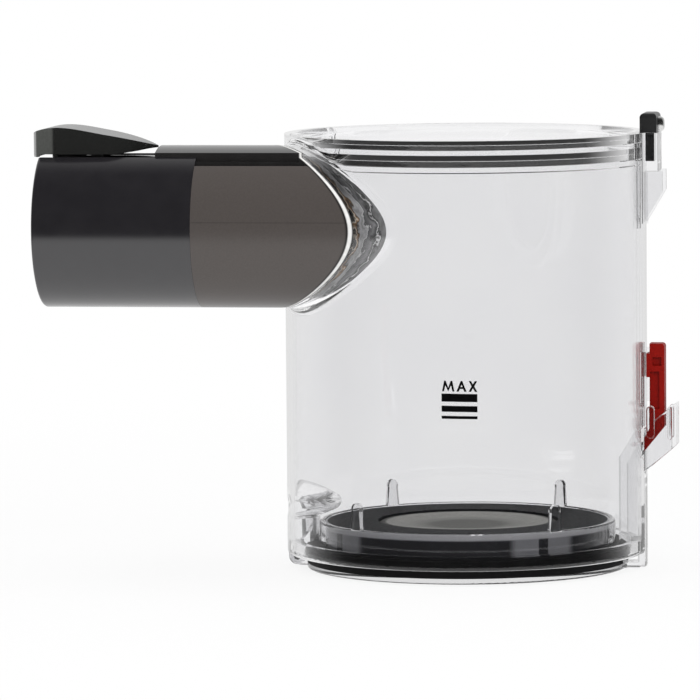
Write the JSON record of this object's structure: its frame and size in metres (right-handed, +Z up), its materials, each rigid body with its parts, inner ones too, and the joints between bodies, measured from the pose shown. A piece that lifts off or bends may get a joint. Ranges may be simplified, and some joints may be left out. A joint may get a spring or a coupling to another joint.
{
  "type": "cyclone dust bin",
  "caption": "Clear cylindrical dust bin of a hand-held vacuum with a dark tangential inlet duct, hinged sealed base, push rod release and wand button.",
  "frame": {"origin": "on the bin's axis at the underside of the closed base", "axes": "+Z up along the bin's axis to the open rim, -X towards the inlet mouth, +X towards the release rod, -Y the side the inlet is offset to"},
  "size_m": [0.1917, 0.11, 0.1384],
  "materials": {
    "clear_shell": "clear polished polycarbonate",
    "clear_base": "clear polished polycarbonate",
    "bond_white": "cured adhesive",
    "duct_black": "satin",
    "duct_grey": "satin",
    "sleeve_black": "satin",
    "button_black": "fine texture",
    "seal_black": "smooth",
    "pad_dark": "satin",
    "seal_grey": "smooth",
    "rod_red": "satin",
    "block_black": "satin",
    "steel": "polished"
  },
  "bodies": {
    "bin": {"bin_shell": "clear_shell", "bond_ring": "bond_white", "inlet_duct": "duct_black", "duct_cover": "duct_grey", "inlet_sleeve": "sleeve_black", "button_pin": "steel", "base_hinge_pin": "steel", "rear_block": "block_black", "block_stud": "steel"},
    "base": {"base_plate": "clear_base", "base_seal": "seal_black", "base_pad": "pad_dark", "centre_seal": "seal_grey"},
    "rod": {"release_rod": "rod_red"},
    "button": {"wand_button": "button_black"}
  },
  "joints": [
    {"name": "base_hinge", "type": "hinge", "parent": "bin", "child": "base", "pos_m": [-0.0515, 0, 0.0032], "axis": [0, 1, 0], "range_deg": [0, 95]},
    {"name": "rod_slide", "type": "slide", "parent": "bin", "child": "rod", "axis": [0, 0, -1], "range_m": [0, 0.005], "stiffness_N_per_m": 120, "springref_m": -0.002},
    {"name": "button_rock", "type": "hinge", "parent": "bin", "child": "button", "pos_m": [-0.107, -0.029, 0.131], "axis": [0, 1, 0], "range_deg": [0, 4], "stiffness_Nm_per_rad": 0.12, "springref_deg": -4.58}
  ]
}
